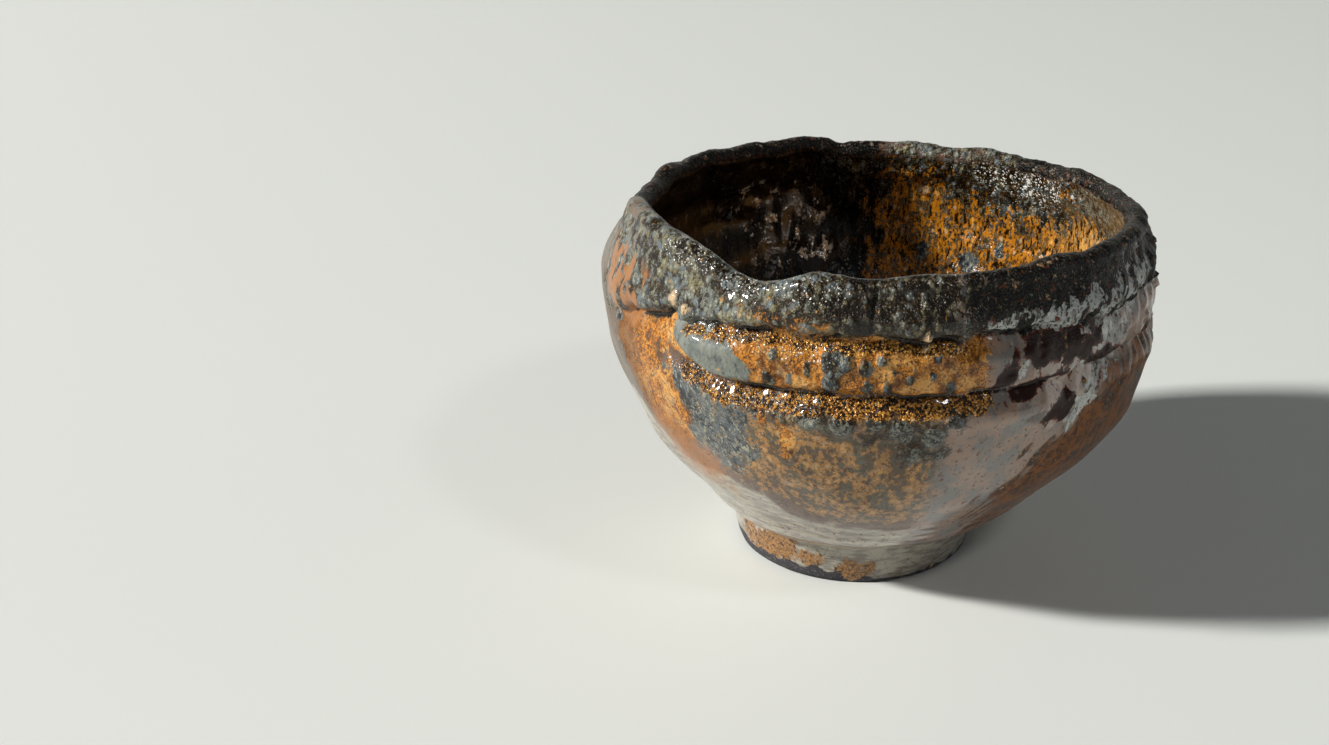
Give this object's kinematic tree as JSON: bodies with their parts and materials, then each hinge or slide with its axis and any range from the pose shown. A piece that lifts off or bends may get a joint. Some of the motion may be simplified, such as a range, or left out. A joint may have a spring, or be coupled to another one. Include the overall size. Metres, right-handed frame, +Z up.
{
  "type": "tea bowl",
  "caption": "Hand-formed stoneware tea bowl with an uneven rim, finger-cut grooves round the outside and a turned foot ring.",
  "frame": {"origin": "under the middle of the bowl's box, on the surface the foot ring stands on", "axes": "+Z up out of the mouth, -Y towards the front, where the rim stands highest beside its dip, +X to the right"},
  "size_m": [0.1194, 0.118, 0.0836],
  "materials": {
    "glazed_stoneware": "wood-ash glaze: crusty grey-blue at the rim, rust orange and gold in the grooves, smooth dark brown gloss below, bare dark clay at the foot"
  },
  "bodies": {
    "root": {"bowl": "glazed_stoneware"}
  },
  "joints": []
}
